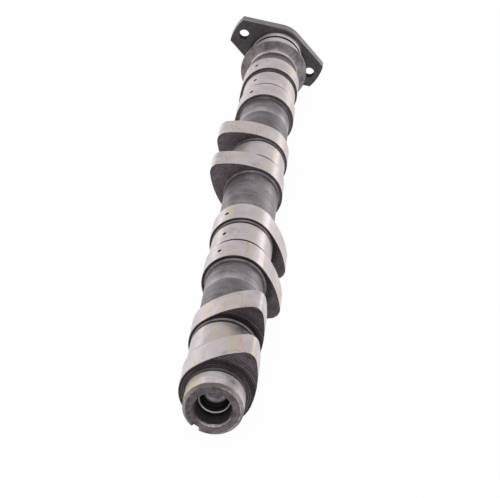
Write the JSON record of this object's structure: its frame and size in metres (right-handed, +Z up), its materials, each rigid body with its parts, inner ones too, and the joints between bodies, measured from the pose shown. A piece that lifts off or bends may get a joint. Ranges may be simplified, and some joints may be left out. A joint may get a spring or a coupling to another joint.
{
  "type": "camshaft",
  "caption": "Cast camshaft with paired cam lobes astride ground journals, a thrust collar, a two-eared bolting flange and a plugged, notched open end.",
  "frame": {"origin": "on the shaft's axis, in the middle of the flange's seat face", "axes": "+Y along the axis and out of the seat face, +Z up as the shaft lies at rest"},
  "size_m": [0.0556, 0.397, 0.0438],
  "materials": {
    "camshaft_iron": "turned and ground, with dark turned flanks and oil-stained ground bands",
    "plug_steel": "pressed steel"
  },
  "bodies": {
    "root": {"camshaft": "camshaft_iron", "oil_gallery_plug": "plug_steel"}
  },
  "joints": []
}
